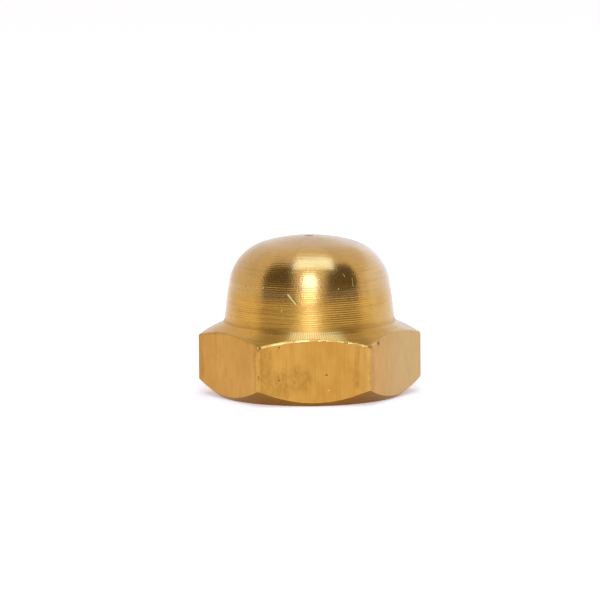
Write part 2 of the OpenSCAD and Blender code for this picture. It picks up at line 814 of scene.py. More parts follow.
        foot_r = flat_r - size["dome_step"]
        foot_z = size["shoulder_height"]
        slope = size["shoulder_slope"]
        high_cut = edge * ((right - slope) * 0.5).tan()
        high = foot_z - (limit - foot_r) * slope.tan()
        draft = size["dome_draft"]
        fillet = size["foot_fillet"]
        fillet_reach = fillet / ((right + draft + slope) * 0.5).tan()
        fillet_r = foot_r + fillet_reach * slope.cos()
        fillet_z = foot_z - fillet_reach * slope.sin()

        pip_r = size["pip_width"] * 0.5
        crown = size["crown_radius"]
        crown_z = size["pip_rim"] - (crown.squared() - pip_r.squared()).sqrt()
        turn = size["turn_radius"]
        track_r = foot_r - turn * draft.cos()
        track_z = foot_z - turn * draft.sin() - crown_z
        half = track_z * draft.cos() - track_r * draft.sin()
        rest = track_r.squared() + track_z.squared() - (crown - turn).squared()
        climb = (half.squared() - rest).sqrt() - half
        centre_r = track_r - climb * draft.sin()
        centre_z = track_z + climb * draft.cos()
        side_r = centre_r + turn * draft.cos()
        side_z = crown_z + centre_z + turn * draft.sin()
        crown_start = centre_z.math("ARCTAN2", centre_r)
        crown_end = (pip_r / crown).math("ARCCOSINE")
        pip_ball = (pip_r.squared() + size["pip_depth"].squared()) / (2.0 * size["pip_depth"])
        pip_open = (pip_r / pip_ball).math("ARCSINE")

        walk = LatheWalk(row, size["thread_diameter"] * 0.5 + size["mouth_step"], zero)
        walk.line_to(base_r - base_cut, zero, rows["face"], eased=True)
        walk.arc(edge, zero - right, base, rows["face_edge"])
        walk.line_to(limit - low_cut * base.cos(), low - low_cut * base.sin(), rows["chamfer"], eased=True)
        low_start = walk.rows
        walk.arc(edge, base - right, right - base, rows["low_edge"])
        low_end = walk.rows
        walk.line_to(limit, high - high_cut, rows["flat"], eased=True)
        high_start = walk.rows
        walk.arc(edge, zero, right - slope, rows["high_edge"])
        flat_end = walk.rows
        walk.line_to(fillet_r, fillet_z, rows["shoulder"], eased=True)
        dome_start = walk.rows + rows["fillet"] // 2
        walk.arc(fillet, 3.0 * right - slope, slope + draft - right, rows["fillet"])
        walk.line_to(side_r, side_z, rows["side"], eased=True)
        walk.arc(turn, draft, crown_start - draft, rows["turn"])
        walk.arc(crown, crown_start, crown_end - crown_start, rows["crown"])
        walk.arc(pip_ball, pip_open - right, -pip_open, rows["pip"])

        on_flat = row.between(low_end - rows["low_edge"] // 2, flat_end)
        on_low = row.between(low_start, low_end)
        on_high = row.between(high_start, flat_end)
        on_corner = on_flat * (flat_r / local.cos() - limit).above(self.WELD)
        # Edges that the drawn brass paints bright: rubbed metal, and a painted highlight.
        worn = on_high + on_low * self.LOW_WEAR + on_corner * self.CORNER_WEAR
        mesh = self.wrap(mesh, angle, walk)
        mesh = self.keep(mesh, Path.WEAR, worn.clamped())
        from_end = row.above(flat_end) * (walk.total - 2.0 * walk.length)
        mesh = self.keep(mesh, Path.LATHE, walk.length + from_end)
        mesh = self.keep(mesh, Path.DRAW, limit * local.sin() + flat * size["across_flats"])
        return mesh, on_flat, row.above(dome_start)

    def hole(self) -> tuple[Field, Field]:
        """Cuts the hole, from the drill's point down the thread to the countersink's rim.

        The rows follow the thread's helix, so each edge of the thread is a row of edges.

        Returns:
            The mesh, and which of its faces lie in the hole.
        """
        size = self.size
        turn_rows = self.CREST_ROWS + 2 * self.FLANK_ROWS + self.ROOT_ROWS
        mesh, column, row = self.grid(self.CONE_ROWS + self.THREAD_TURNS * turn_rows, "hole")
        angle, _, _ = self.turn(column)

        drill = size["drill_radius"]
        zero = 0.0 * drill
        pip_r = size["pip_width"] * 0.5
        crown = size["crown_radius"]
        height = size["pip_rim"] + crown - (crown.squared() - pip_r.squared()).sqrt()
        point = height - size["crown_wall"]
        depth = point - drill / size["drill_slope"].tan()
        pitch = size["thread_pitch"]
        thread_r = size["thread_diameter"] * 0.5
        cut = thread_r - drill
        flank = cut * size["thread_flank"].tan()
        root = pitch * self.ROOT_SHARE
        crest = pitch - root - 2.0 * flank

        cone = LatheWalk(row, zero, point)
        cone.line_to(drill, depth, self.CONE_ROWS)
        groove = LatheWalk(row - float(self.CONE_ROWS), zero, zero)
        moves = (
            (0.0, crest, self.CREST_ROWS),
            (1.0, flank, self.FLANK_ROWS),
            (0.0, root, self.ROOT_ROWS),
            (-1.0, flank, self.FLANK_ROWS),
        )
        for out, down, rows in moves * self.THREAD_TURNS:
            groove.line_to(groove.at[0] + cut * out, groove.at[1] - down, rows)
        lead = pitch * ((angle + (math.pi / 2.0 + math.pi / self.flats)) / (2.0 * math.pi))
        drop = (lead + groove.height).math("MINIMUM", 0.0).math("MAXIMUM", -depth)
        runout = (-drop).ramp(self.RUNOUT_FROM * pitch, self.RUNOUT_TO * pitch)
        cone.height = cone.height + drop
        mouth = thread_r + size["mouth_step"] - cone.height / size["mouth_slope"].tan()
        cone.radius = (cone.radius + groove.radius * runout).math("MAXIMUM", mouth)

        mesh = self.wrap(mesh, angle, cone)
        mesh = self.keep(mesh, Path.LATHE, groove.length)
        return mesh, row.above(0.0)


class Effect:
    """A shader node group that more than one finish uses."""

    VECTORS = ("Place", "Start", "End")

    def __init__(self, name: str, inputs: Sequence[str], outputs: Sequence[str]) -> None:
        """Makes an empty group.

        Args:
            name: The group's name.
            inputs: Names of its inputs. Place, Start and End are vectors, and the others are numbers.
            outputs: Names of its outputs, which are numbers.
        """
        self.tree = bpy.data.node_groups.new(name, "ShaderNodeTree")
        for socket in inputs:
            kind = "NodeSocketVector" if socket in self.VECTORS else "NodeSocketFloat"
            self.tree.interface.new_socket(socket, in_out="INPUT", socket_type=kind)
        for socket in outputs:
            self.tree.interface.new_socket(socket, in_out="OUTPUT", socket_type="NodeSocketFloat")
        entry = self.tree.nodes.new("NodeGroupInput")
        self.given = {socket: output(entry, socket) for socket in inputs}
        self.exit = self.tree.nodes.new("NodeGroupOutput")

    def give(self, name: str, value: Field) -> None:
        """Sends a value to one of the group's outputs."""
        plug(value, self.exit.inputs[name])

    def noise(self, detail: float, **inputs: object) -> Field:
        """Adds noise to the group, from 0 to 1."""
        return add_noise(self.tree, detail, **inputs)

    def use(self, tree: bpy.types.NodeTree, **inputs: object) -> dict[str, Field]:
        """Places the group in a material and gives its outputs by name."""
        node = add_node(tree, "ShaderNodeGroup", {"node_tree": self.tree}, **inputs)
        return {socket.name: Field(tree, socket) for socket in node.outputs}


class Effects:
    """The effects that the finishes share."""

    # How many streaks come to one line, and how many swells of the comb.
    STREAKS = 0.75
    SWELLS = 0.07
    STREAK_HEIGHT = 1.6
    SWELL_RANGE: Range = (0.3, 0.6)
    SHADE_RANGE: Range = (0.48, 0.68)
    # Where a speck starts to fade, in its radius, and where a mark does and ends, in its width.
    SPECK_CORE = 0.6
    MARK_RANGE: Range = (0.2, 0.5)

    def __init__(self) -> None:
        """Builds every group once."""
        self.lines = self.make_lines()
        self.patina = self.make_patina()
        self.specks = self.make_specks()
        self.mark = self.make_mark()

    def make_lines(self) -> Effect:
        """Makes lines of a tool: a comb a pitch apart that comes and goes, among long random streaks.

        Returns:
            The effect.
        """
        effect = Effect("Tool lines", ("Place", "Path", "Pitch", "Length"), ("Height", "Shade"))
        step = effect.given["Path"] / effect.given["Pitch"]
        length = effect.given["Length"]
        drawn_out = {"Vector": effect.given["Place"], "Scale": 1.0 / length}
        streak = effect.noise(2.0, W=step * length * self.STREAKS, **drawn_out)
        swell = effect.noise(1.0, W=step * length * self.SWELLS, **drawn_out).ramp(*self.SWELL_RANGE)
        comb = (step * (2.0 * math.pi)).sin()
        effect.give("Height", 0.5 + comb * swell * 0.5 + (streak - 0.5) * self.STREAK_HEIGHT)
        effect.give("Shade", streak.ramp(*self.SHADE_RANGE))
        return effect

    def make_patina(self) -> Effect:
        """Makes a cloudy dulling of the metal.

        Returns:
            The effect.
        """
        effect = Effect("Patina", ("Place", "Scale", "Start At", "Full At"), ("Mask",))
        cloud = effect.noise(5.0, Vector=effect.given["Place"], Scale=effect.given["Scale"])
        effect.give("Mask", cloud.ramp(effect.given["Start At"], effect.given["Full At"]))
        return effect

    def make_specks(self) -> Effect:
        """Makes small round specks, scattered one to a cell in a share of the cells.

        Returns:
            The effect.
        """
        effect = Effect("Specks", ("Place", "Scale", "Size", "Share"), ("Mask",))
        spread = {"Vector": effect.given["Place"], "Scale": effect.given["Scale"]}
        cells = add_node(effect.tree, "ShaderNodeTexVoronoi", **spread)
        pick = output(add_node(effect.tree, "ShaderNodeSeparateColor", Color=output(cells, "Color")))
        size = effect.given["Size"]
        near = 1.0 - output(cells, "Distance").ramp(size * self.SPECK_CORE, size)
        effect.give("Mask", near * pick.math("LESS_THAN", effect.given["Share"]))
        return effect

    def make_mark(self) -> Effect:
        """Makes one mark, round or drawn out from a start to an end.

        Returns:
            The effect.
        """
        effect = Effect("Mark", ("Place", "Start", "End", "Width"), ("Mask",))
        tree, start = effect.tree, effect.given["Start"]
        run = add_vector_math(tree, "SUBTRACT", effect.given["End"], start)
        off = add_vector_math(tree, "SUBTRACT", effect.given["Place"], start)
        behind = add_vector_math(tree, "DOT_PRODUCT", off, run, result="Value")
        whole = add_vector_math(tree, "DOT_PRODUCT", run, run, result="Value")
        nearest = add_vector_math(tree, "SCALE", run, scale=(behind / whole).clamped())
        gap = add_vector_math(tree, "DISTANCE", off, nearest, result="Value")
        effect.give("Mask", 1.0 - (gap / effect.given["Width"]).ramp(*self.MARK_RANGE))
        return effect


@dataclass(frozen=True)
class ToolLines:
    """Lines that a tool leaves: distance from line to line, length of a streak, and depth."""

    pitch: float
    length: float
    depth: float


@dataclass(frozen=True)
class Cloud:
    """A cloudy dulling: clouds in a metre, the noise's levels where it starts and is full, and tallness."""

    scale: float
    start: float
    full: float
    stretch: float = 1.0


@dataclass(frozen=True)
class Speckle:
    """Scattered specks: cells in a metre, a speck's radius as a part of its cell, and the share with one."""

    scale: float
    size: float
    share: float


@dataclass(frozen=True)
class Mark:
    """One mark on the metal. A place is degrees round from the front, towards the right, and a height."""

    kind: MarkKind
    start: tuple[float, float]
    end: tuple[float, float]
    width: float
    DOT_TURN: ClassVar[float] = 0.05

    @classmethod
    def dot(cls, kind: MarkKind, azimuth: float, height: float, width: float) -> "Mark":
        """A round mark, which ends a hair's breadth from its start."""
        return cls(kind, (azimuth, height), (azimuth + cls.DOT_TURN, height), width)


class Layers:
    """Colour, roughness and relief of one finish, built up layer by layer."""

    COAT_ROUGHNESS = 0.2
    COAT_IOR = 1.65
    HAZE: Colour = (0.58, 0.41, 0.18)
    # Where the bloom and the painted lighter side start and are full, as parts of the width across flats.
    HAZE_RANGE: Range = (0.2, 0.5)
    # Places of a Mix node's colour sockets.
    MIX_FACTOR = 0
    MIX_UNDER = 6
    MIX_OVER = 7
    MIX_RESULT = 2
    # How thick marks lie.
    BLOTCHES = Cloud(4200.0, 0.35, 0.65, stretch=1.5)
    STAIN_BASE = 0.12
    STAIN_BLOTCH = 0.2
    PIT_STAIN = 0.8
    PIT_DEPTH = 0.03 * MM
    SCRATCH_ROUGHNESS = 0.6

    def __init__(
        self,
        finish: Finish,
        colour: Colour,
        roughness: float,
        nut: CapNut,
        effects: Effects,
    ) -> None:
        """Starts a material.

        Args:
            finish: The finish that it shows.
            colour: Colour of the bare metal.
            roughness: Roughness of the bare metal.
            nut: The nut, which says where things lie.
            effects: The shared effects.
        """
        self.material = bpy.data.materials.new(finish.value)
        self.material.use_nodes = True
        self.tree = self.material.node_tree
        self.shader = self.tree.nodes["Principled BSDF"]
        self.place = output(self.tree.nodes.new("ShaderNodeTexCoord"), "Object")
        self.colour: Field | Colour = colour
        self.roughness: Number = roughness
        self.normal: Field | None = None
        self.nut = nut
        self.effects = effects

    def path(self, path: Path) -> Field:
        """A value that the mesh carries."""
        node = add_node(self.tree, "ShaderNodeAttribute", {"attribute_name": path.value})
        return output(node, "Fac")

    def axes(self) -> tuple[Field, Field, Field]:
        """The three coordinates of a point of the nut."""
        split = add_node(self.tree, "ShaderNodeSeparateXYZ", Vector=self.place)
        return output(split, "X"), output(split, "Y"), output(split, "Z")

    def off_axis(self) -> Field:
        """Distance of a point of the nut from its axis."""
        x, y, _ = self.axes()
        return (x.squared() + y.squared()).sqrt()

    def noise(self, detail: float, scale: float) -> Field:
        """Adds noise, from 0 to 1."""
        return add_noise(self.tree, detail, Vector=self.place, Scale=scale)

    def lines(self, path: Path, lines: ToolLines) -> dict[str, Field]:
        """Height and shade of lines that lie across a path."""
        sizes = {"Path": self.path(path), "Pitch": lines.pitch, "Length": lines.length}
        return self.effects.lines.use(self.tree, Place=self.place, **sizes)

    def patina(self, cloud: Cloud) -> Field:
        """Mask of a cloudy dulling.

        Args:
            cloud: The clouds' size and levels.

        Returns:
            The mask.
        """
        squeeze = (1.0, 1.0, 1.0 / cloud.stretch)
        place = output(add_node(self.tree, "ShaderNodeMapping", Vector=self.place, Scale=squeeze))
        levels = {"Start_At": cloud.start, "Full_At": cloud.full}
        return self.effects.patina.use(self.tree, Place=place, Scale=cloud.scale, **levels)["Mask"]

    def specks(self, specks: Speckle) -> Field:
        """Mask of scattered specks."""
        sizes = {"Scale": specks.scale, "Size": specks.size, "Share": specks.share}
        return self.effects.specks.use(self.tree, Place=self.place, **sizes)["Mask"]

    def stain(self, mask: Field, colour: Colour) -> None:
        """Lays another colour over what is there.

        Args:
            mask: How thick it lies, from 0 to 1.
            colour: The colour.
        """
        mix = self.tree.nodes.new("ShaderNodeMix")
        mix.data_type = "RGBA"
        under = self.colour if isinstance(self.colour, Field) else (*self.colour, 1.0)
        plug(mask, mix.inputs[self.MIX_FACTOR])
        plug(under, mix.inputs[self.MIX_UNDER])
        plug((*colour, 1.0), mix.inputs[self.MIX_OVER])
        self.colour = output(mix, self.MIX_RESULT)

    def haze(self, strength: float) -> None:
        """Paints the metal paler towards the nut's right, +X: a pale bloom, and a painted lighter side, as
        if lit from the right.

        Args:
            strength: How thick the bloom and the painted light are at their fullest.
        """
        x, _, _ = self.axes()
        start, full = (self.nut.across_flats * part for part in self.HAZE_RANGE)
        self.stain(x.ramp(start, full) * strength, self.HAZE)

    def roughen(self, mask: Field, roughness: float) -> None:
        """Brings the roughness to another value, as far as the mask says."""
        self.roughness = self.roughness + mask * (roughness - self.roughness)

    def emboss(self, height: Field, depth: float) -> None:
        """Adds relief.

        Args:
            height: Height of the relief, from 0 to 1.
            depth: How far 1 stands above 0.
        """
        bump = add_node(self.tree, "ShaderNodeBump", Height=height, Distance=depth, Strength=1.0)
        if self.normal:
            plug(self.normal, bump.inputs["Normal"])
        self.normal = output(bump)

    def lay_marks(self, marks: Sequence[Mark], bright: Colour, grime: Colour) -> None:
        """Lays single marks over the finish.

        Args:
            marks: The marks.
            bright: Colour of a fresh scratch, which also paints a glint.
            grime: Colour of a pit or a stain, and of painted shade.
        """
        masks: dict[MarkKind, Field] = {}
        for mark in marks:
            ends = {"Start": self.nut.spot(*mark.start), "End": self.nut.spot(*mark.end)}
            mask = self.effects.mark.use(self.tree, Place=self.place, Width=mark.width, **ends)["Mask"]
            if mark.kind in masks:
                mask = masks[mark.kind].math("MAXIMUM", mask)
            masks[mark.kind] = mask
        # A stain can be painted shade, as beside the flats' corners.
        if MarkKind.STAIN in masks:
            thickness = self.STAIN_BASE + self.patina(self.BLOTCHES) * self.STAIN_BLOTCH
            self.stain(masks[MarkKind.STAIN] * thickness, grime)
        # A pit darkens and sinks the metal; the long pit on the dome is a painted shadow beside a scratch.
        if MarkKind.PIT in masks:
            self.stain(masks[MarkKind.PIT] * self.PIT_STAIN, grime)
            self.emboss(1.0 - masks[MarkKind.PIT], self.PIT_DEPTH)
        # A scratch is painted bright: fresh metal, and a painted glint.
        if MarkKind.SCRATCH in masks:
            self.stain(masks[MarkKind.SCRATCH], bright)
            self.roughen(masks[MarkKind.SCRATCH], self.SCRATCH_ROUGHNESS)

    def finish(self, anisotropy: float, smear: Smear, coat: Number) -> bpy.types.Material:
        """Joins the layers to the shader.

        Args:
            anisotropy: How far the lines of the tool draw a reflection out.
            smear: Direction that it is drawn out in.
            coat: Weight of the clear film on the metal.

        Returns:
            The material.
        """
        values = {
            "Base Color": self.colour,
            "Metallic": 1.0,
            "Roughness": self.roughness,
            "Normal": self.normal,
            "Anisotropic": anisotropy,
            "Anisotropic Rotation": smear.value,
            "Tangent": add_vector_math(self.tree, "CROSS_PRODUCT", (0.0, 0.0, 1.0), self.place),
            "Coat Weight": coat,
            "Coat Roughness": self.COAT_ROUGHNESS,
            "Coat IOR": self.COAT_IOR,
        }
        for name, value in values.items():
            plug(value, self.shader.inputs[name])
        return self.material


@dataclass(frozen=True)
class TurnedBrass:
    """Brass of the dome: rings of the turning tool under a bright film, with scratches painted bright as
    glints, a painted shadow beside one, and specks.
    """

    colour: Colour = (0.7, 0.37, 0.062)
    dull: Colour = (0.52, 0.27, 0.045)
    grime: Colour = (0.25, 0.115, 0.02)
    # Colour of the scratches: fresh metal, and a painted glint.
    bright: Colour = (1.0, 0.8, 0.3)
    pip_grime: Colour = (0.3, 0.17, 0.05)
    pip_range: Range = (0.35, 0.55)
    roughness: float = 0.19
    side_roughness: float = 0.27
    side_top: float = 9.9 * MM
    side_fade: float = 1.2 * MM
    foot_roughness: float = 0.5
    foot_top: float = 7.2 * MM
    roll_start: float = 8.7 * MM
    roll_end: float = 10.3 * MM
    roll_depth: float = 0.11 * MM
    rings: ToolLines = ToolLines(pitch=0.19 * MM, length=7.0 * MM, depth=0.012 * MM)
    crown_rings: float = 0.8
    ring_shade: float = 0.18
    grain_scale: float = 7000.0
    grain_depth: float = 0.0095 * MM
    patina: Cloud = Cloud(330.0, 0.4, 0.72)
    patina_weight: float = 0.5
    mottle: Cloud = Cloud(2600.0, 0.42, 0.7)
    mottle_weight: float = 0.25
    specks: Speckle = Speckle(700.0, 0.07, 0.12)
    speck_weight: float = 0.6
    haze: float = 0.45
    anisotropy: float = 0.85
    crown_coat: float = 0.78
    side_coat: float = 0.15
    marks: tuple[Mark, ...] = (
        # The long pit is a painted shadow beside the two scratches that follow, also pressed in as a groove.
        Mark(MarkKind.PIT, (-16.4, 9.66 * MM), (-10.8, 8.86 * MM), 0.14 * MM),
        Mark(MarkKind.SCRATCH, (-17.4, 9.62 * MM), (-15.1, 9.3 * MM), 0.22 * MM),
        Mark(MarkKind.SCRATCH, (-14.7, 9.24 * MM), (-11.8, 8.83 * MM), 0.16 * MM),
        Mark(MarkKind.SCRATCH, (30.9, 10.9 * MM), (30.5, 10.23 * MM), 0.07 * MM),
        Mark(MarkKind.SCRATCH, (24.0, 11.3 * MM), (25.2, 11.05 * MM), 0.06 * MM),
        Mark.dot(MarkKind.SCRATCH, 18.8, 10.07 * MM, 0.16 * MM),
        Mark.dot(MarkKind.SCRATCH, -21.8, 8.21 * MM, 0.2 * MM),
        Mark.dot(MarkKind.SCRATCH, -37.2, 10.09 * MM, 0.14 * MM),
        Mark.dot(MarkKind.PIT, -53.9, 10.08 * MM, 0.2 * MM),
        Mark.dot(MarkKind.PIT, 10.3, 8.99 * MM, 0.18 * MM),
    )

    def material(self, nut: CapNut, effects: Effects) -> bpy.types.Material:
        """Makes the material.

        Args:
            nut: The nut, which says where the marks lie.
            effects: The shared effects.

        Returns:
            The material.
        """
        layers = Layers(Finish.TURNED, self.colour, self.roughness, nut, effects)
        _, _, z = layers.axes()
        side = 1.0 - z.ramp(self.side_top - self.side_fade, self.side_top)
        foot = 1.0 - z.ramp(nut.shoulder_height, self.foot_top)
        pip = 1.0 - layers.off_axis().ramp(*(nut.pip_width * part for part in self.pip_range))
        rings = layers.lines(Path.LATHE, self.rings)
        patina = layers.patina(self.patina)
        # Painted light: paler towards the nut's right, with a pale bloom.
        layers.haze(self.haze)
        layers.stain(patina * self.patina_weight, self.dull)
        layers.stain(layers.patina(self.mottle) * self.mottle_weight, self.dull)
        layers.stain(rings["Shade"] * self.ring_shade, self.grime)
        layers.stain(layers.specks(self.specks) * self.speck_weight, self.grime)
        layers.stain(pip, self.pip_grime)
        layers.roughen(side, self.side_roughness)
        layers.roughen(patina * self.patina_weight, self.side_roughness)
        layers.roughen(foot, self.foot_roughness)
        layers.emboss(-z.ramp(self.roll_start, self.roll_end), self.roll_depth)
        ring_height = self.crown_rings + side * (1.0 - self.crown_rings)
        layers.emboss(rings["Height"] * ring_height, self.rings.depth)
        layers.emboss(layers.noise(2.0, self.grain_scale), self.grain_depth)
        layers.lay_marks(self.marks, self.bright, self.grime)
        coat = self.crown_coat - side * (self.crown_coat - self.side_coat)
        return layers.finish(self.anisotropy, Smear.UPRIGHT, coat)


@dataclass(frozen=True)
class FacedBrass:
    """Brass of the shoulder, the base chamfer and the bearing face: coarser rings, with chatter above, and
    painted shade and highlight.
    """

    colour: Colour = (0.75, 0.395, 0.075)
    # Colour of the patina, and of the chatter's painted shade on the front.
    dull: Colour = (0.46, 0.22, 0.035)
    # Colour of ring streaks, pits, and the base chamfer's painted shade.
    grime: Colour = (0.27, 0.115, 0.003)
    # Colour of scratches, and of the painted highlight on the shoulder's front.
    bright: Colour = (0.95, 0.8, 0.42)
    roughness: float = 0.28
    rings: ToolLines = ToolLines(pitch=0.21 * MM, length=5.0 * MM, depth=0.008 * MM)
    ring_shade: float = 0.16
    ridge_lean: float = math.radians(19.0)
    lean_start: float = 0.03 * MM
    lean_fade: float = 0.1 * MM
    lean_reach: float = 2.0 * MM
    chatter_count: float = 250.0
    chatter_drift: float = 4.0
    chatter_depth: float = 0.005 * MM
    chatter_weight: float = 0.35
    # How far the chatter on the front is darkened with painted shade, and lit between with a painted
    # highlight.
    front_chatter_and_shade: float = 0.6
    front_painted_highlight: float = 0.12
    front_cosines: Range = (0.92, 0.97)
    patch_scale: float = 700.0
    patch_range: Range = (0.35, 0.65)
    patina: Cloud = Cloud(400.0, 0.4, 0.72)
    patina_weight: float = 0.2
    haze: float = 0.3
    base_height: float = 2.5 * MM
    base_inset: float = 0.9
    base_painted_shade: float = 0.9
    anisotropy: float = 0.95
    coat: float = 0.15
    marks: tuple[Mark, ...] = (
        Mark.dot(MarkKind.PIT, -43.1, 6.2 * MM, 0.18 * MM),
        Mark.dot(MarkKind.SCRATCH, -39.4, 6.1 * MM, 0.16 * MM),
        Mark.dot(MarkKind.SCRATCH, -27.5, 6.2 * MM, 0.16 * MM),
    )

    def material(self, nut: CapNut, effects: Effects) -> bpy.types.Material:
        """Makes the material.

        Args:
            nut: The nut, which says where the marks and the shoulder lie.
            effects: The shared effects.

        Returns:
            The material.
        """
        layers = Layers(Finish.FACED, self.colour, self.roughness, nut, effects)
        x, y, z = layers.axes()
        off_axis = layers.off_axis()
        rings = layers.lines(Path.LATHE, self.rings)
        patina = layers.patina(self.patina)
        patchy = layers.noise(2.0, self.patch_scale)
        phase = y.math("ARCTAN2", x) * self.chatter_count + patchy * self.chatter_drift
        upper = z.ramp(self.base_height, 2.0 * self.base_height)
        chatter = (phase.sin() * 0.5 + 0.5) * upper
        front = (-y / off_axis).ramp(*self.front_cosines)
        around = patchy.ramp(*self.patch_range) * self.chatter_weight
        rim = nut.across_flats / 2.0 - nut.base_step
        base = 1.0 - z.ramp(0.5 * self.base_height, self.base_height)
        chamfer = base * off_axis.ramp(self.base_inset * rim, rim)
        # Painted light: paler towards the nut's right, with a pale bloom.
        layers.haze(self.haze)
        layers.stain(patina * self.patina_weight, self.dull)
        # Chatter stripes, darker on the front with painted shade.
        layers.stain(chatter * around.math("MAXIMUM", front * self.front_chatter_and_shade), self.dull)
        # Painted highlight between the chatter stripes on the front of the shoulder.
        layers.stain((upper - chatter) * front * self.front_painted_highlight, self.bright)
        layers.stain(rings["Shade"] * self.ring_shade, self.grime)
        # Painted shade: the base chamfer darker, as where it faces the floor in the nut's shadow, clouded by
        # the patina.
        layers.stain(chamfer * (self.base_painted_shade + patina * (1.0 - self.base_painted_shade)), self.grime)
        layers.emboss(rings["Height"], self.rings.depth)
        layers.emboss(chatter * patchy, self.chatter_depth)
        drop = (nut.shoulder_height - self.lean_start - z).clamped(0.0, self.lean_reach)
        lean = -drop.squared() / (drop + self.lean_fade)
        layers.emboss(lean, math.tan(self.ridge_lean) / math.sin(nut.shoulder_slope))
        layers.lay_marks(self.marks, self.bright, self.grime)
        return layers.finish(self.anisotropy, Smear.UPRIGHT, upper * self.coat)


@dataclass(frozen=True)
class DrawnBrass:
    """Brass of the drawn bar: satin flats with fine upright lines, stains, painted shade beside two corners
    and pits, bright on worn edges with a painted highlight.
    """

    colour: Colour = (0.67, 0.345, 0.066)
    dull: Colour = (0.52, 0.235, 0.033)
    grime: Colour = (0.26, 0.095, 0.012)
    # Colour of worn edges and scratches, which also paints their highlight.
    bright: Colour = (0.88, 0.6, 0.17)
    roughness: float = 0.34
    edge_roughness: float = 0.22
    mottle_roughness: float = 0.42
    lines: ToolLines = ToolLines(pitch=0.12 * MM, length=4.0 * MM, depth=0.003 * MM)
    line_shade: float = 0.35
    rubbed_range: Range = (0.42, 0.48)
    unrubbed_weight: float = 0.3
    cloud: Cloud = Cloud(260.0, 0.38, 0.75)
    cloud_weight: float = 0.6
    mottle: Cloud = Cloud(2200.0, 0.4, 0.7, stretch=3.0)
    mottle_weight: float = 0.3
    specks: Speckle = Speckle(600.0, 0.08, 0.12)
    speck_weight: float = 0.5
    wear: Cloud = Cloud(1500.0, 0.3, 0.6)
    wear_weight: float = 0.6
    unrubbed_wear: float = 0.35
    haze: float = 0.65
    anisotropy: float = 0.5
    marks: tuple[Mark, ...] = (
        Mark.dot(MarkKind.PIT, 7.35, 2.8 * MM, 0.26 * MM),
        Mark.dot(MarkKind.PIT, -19.5, 5.26 * MM, 0.2 * MM),
        Mark.dot(MarkKind.PIT, -19.5, 2.37 * MM, 0.18 * MM),
        Mark.dot(MarkKind.PIT, -29.8, 2.69 * MM, 0.2 * MM),
        Mark.dot(MarkKind.PIT, 38.5, 5.37 * MM, 0.4 * MM),
        Mark(MarkKind.STAIN, (23.9, 5.4 * MM), (23.8, 1.7 * MM), 0.5 * MM),
        # The stains at 32.0 and -31.8 degrees are painted shade beside the corners.
        Mark(MarkKind.STAIN, (32.0, 5.1 * MM), (32.0, 1.2 * MM), 0.9 * MM),
        Mark(MarkKind.STAIN, (-31.8, 5.1 * MM), (-31.8, 1.2 * MM), 0.7 * MM),
        Mark(MarkKind.STAIN, (-24.0, 1.8 * MM), (-8.0, 2.4 * MM), 3.2 * MM),
        Mark(MarkKind.STAIN, (-26.5, 4.6 * MM), (-26.5, 1.4 * MM), 1.8 * MM),
        Mark(MarkKind.STAIN, (-89.0, 5.0 * MM), (-89.0, 2.0 * MM), 2.0 * MM),
        Mark.dot(MarkKind.SCRATCH, 8.55, 1.44 * MM, 0.16 * MM),
    )

    def material(self, nut: CapNut, effects: Effects) -> bpy.types.Material:
        """Makes the material.

        Args:
            nut: The nut, which says where the marks lie.
            effects: The shared effects.

        Returns:
            The material.
        """
        layers = Layers(Finish.DRAWN, self.colour, self.roughness, nut, effects)
        _, y, _ = layers.axes()
        rubbed = y.absolute().ramp(*(nut.across_flats * part for part in self.rubbed_range))
        lines = layers.lines(Path.DRAW, self.lines)
        mottle = layers.patina(self.mottle)
        layers.stain((1.0 - rubbed) * self.unrubbed_weight, self.dull)
        layers.stain(layers.patina(self.cloud) * self.cloud_weight, self.dull)
        layers.stain(mottle * self.mottle_weight, self.dull)
        layers.stain(lines["Shade"] * self.line_shade, self.dull)
        # Painted light: paler towards the nut's right, with a pale bloom.
        layers.haze(self.haze)
        layers.stain(layers.specks(self.specks) * self.speck_weight, self.grime)
        # Worn edges painted bright in broken dots: rubbed metal, and a painted highlight.
        shown = self.unrubbed_wear + rubbed * (1.0 - self.unrubbed_wear)
        wear = layers.path(Path.WEAR) * layers.patina(self.wear) * shown
        layers.stain(wear * self.wear_weight, self.bright)
        layers.roughen(mottle, self.mottle_roughness)
        layers.roughen(wear, self.edge_roughness)
        layers.emboss(lines["Height"], self.lines.depth)
        layers.lay_marks(self.marks, self.bright, self.grime)
        return layers.finish(self.anisotropy, Smear.ROUND, 0.0)


@dataclass(frozen=True)
class TappedBrass:
    """Brass in the hole, cut by the drill and the tap."""

    colour: Colour = (0.6, 0.34, 0.07)
    dull: Colour = (0.36, 0.17, 0.035)
    roughness: float = 0.3
    cloud_roughness: float = 0.42
    lines: ToolLines = ToolLines(pitch=0.12 * MM, length=3.0 * MM, depth=0.003 * MM)
    cloud: Cloud = Cloud(420.0, 0.4, 0.7)
    cloud_weight: float = 0.6
    anisotropy: float = 0.5
    coat: float = 0.2

    def material(self, nut: CapNut, effects: Effects) -> bpy.types.Material:
        """Makes the material.

        Args:
            nut: The nut.
            effects: The shared effects.

        Returns:
            The material.
        """
        layers = Layers(Finish.TAPPED, self.colour, self.roughness, nut, effects)
        cloud = layers.patina(self.cloud)
        layers.stain(cloud * self.cloud_weight, self.dull)
        layers.roughen(cloud, self.cloud_roughness)
        layers.emboss(layers.lines(Path.LATHE, self.lines)["Height"], self.lines.depth)
        return layers.finish(self.anisotropy, Smear.UPRIGHT, self.coat)


